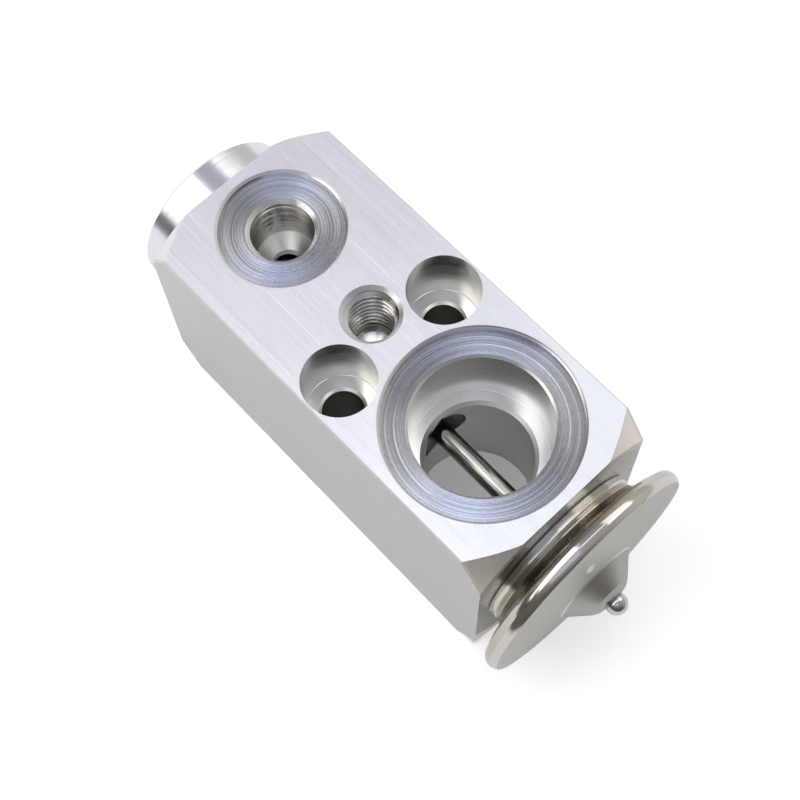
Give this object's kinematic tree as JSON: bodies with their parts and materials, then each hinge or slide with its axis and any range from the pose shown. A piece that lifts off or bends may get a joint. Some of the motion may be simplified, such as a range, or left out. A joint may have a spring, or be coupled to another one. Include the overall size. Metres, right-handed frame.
{
  "type": "thermostatic expansion valve",
  "caption": "Block-type thermostatic expansion valve with two through-flow circuits, a power head, an operating rod, and a spring-loaded ball at its seat.",
  "frame": {"origin": "on the evaporator side's face, midway between the two mounting bolt holes", "axes": "+X along the valve's axis towards the power head, +Y across the block, +Z out of the line side's port face"},
  "size_m": [0.0913, 0.0384, 0.039],
  "materials": {
    "block_aluminium": "milled",
    "head_steel": "satin",
    "cover_steel": "satin",
    "polished_steel": "polished",
    "spring_steel": "drawn",
    "screw_brass": "turned",
    "seal_rubber": "smooth"
  },
  "bodies": {
    "housing": {"valve_body": "block_aluminium", "head_base": "head_steel", "head_cover": "cover_steel", "charge_plug": "polished_steel", "diaphragm": "spring_steel", "head_seal": "seal_rubber", "rod_seal": "seal_rubber", "seal_retainer": "spring_steel", "superheat_spring": "spring_steel"},
    "pin_stack": {"operating_rod": "polished_steel", "diaphragm_stop": "head_steel", "valve_ball": "polished_steel", "ball_carrier": "spring_steel"},
    "adjuster_ring": {"screw_seal": "seal_rubber"},
    "adjuster": {"adjusting_screw": "screw_brass"}
  },
  "joints": [
    {"name": "valve_stroke", "type": "slide", "parent": "housing", "child": "pin_stack", "axis": [-1, 0, 0], "range_m": [0, 0.0008], "stiffness_N_per_m": 6300, "deforming": ["superheat_spring", "diaphragm"]},
    {"name": "screw_advance", "type": "slide", "parent": "housing", "child": "adjuster_ring", "axis": [1, 0, 0], "range_m": [-0.001, 0.001], "deforming": ["superheat_spring"]},
    {"name": "screw_turn", "type": "hinge", "parent": "adjuster_ring", "child": "adjuster", "pos_m": [-0.038, 0, 0.0195], "axis": [1, 0, 0], "range_deg": [-360, 360]}
  ],
  "couplings": [
    {"joint": "screw_advance", "follows": "screw_turn", "m_per_rad": 0.00015915}
  ]
}
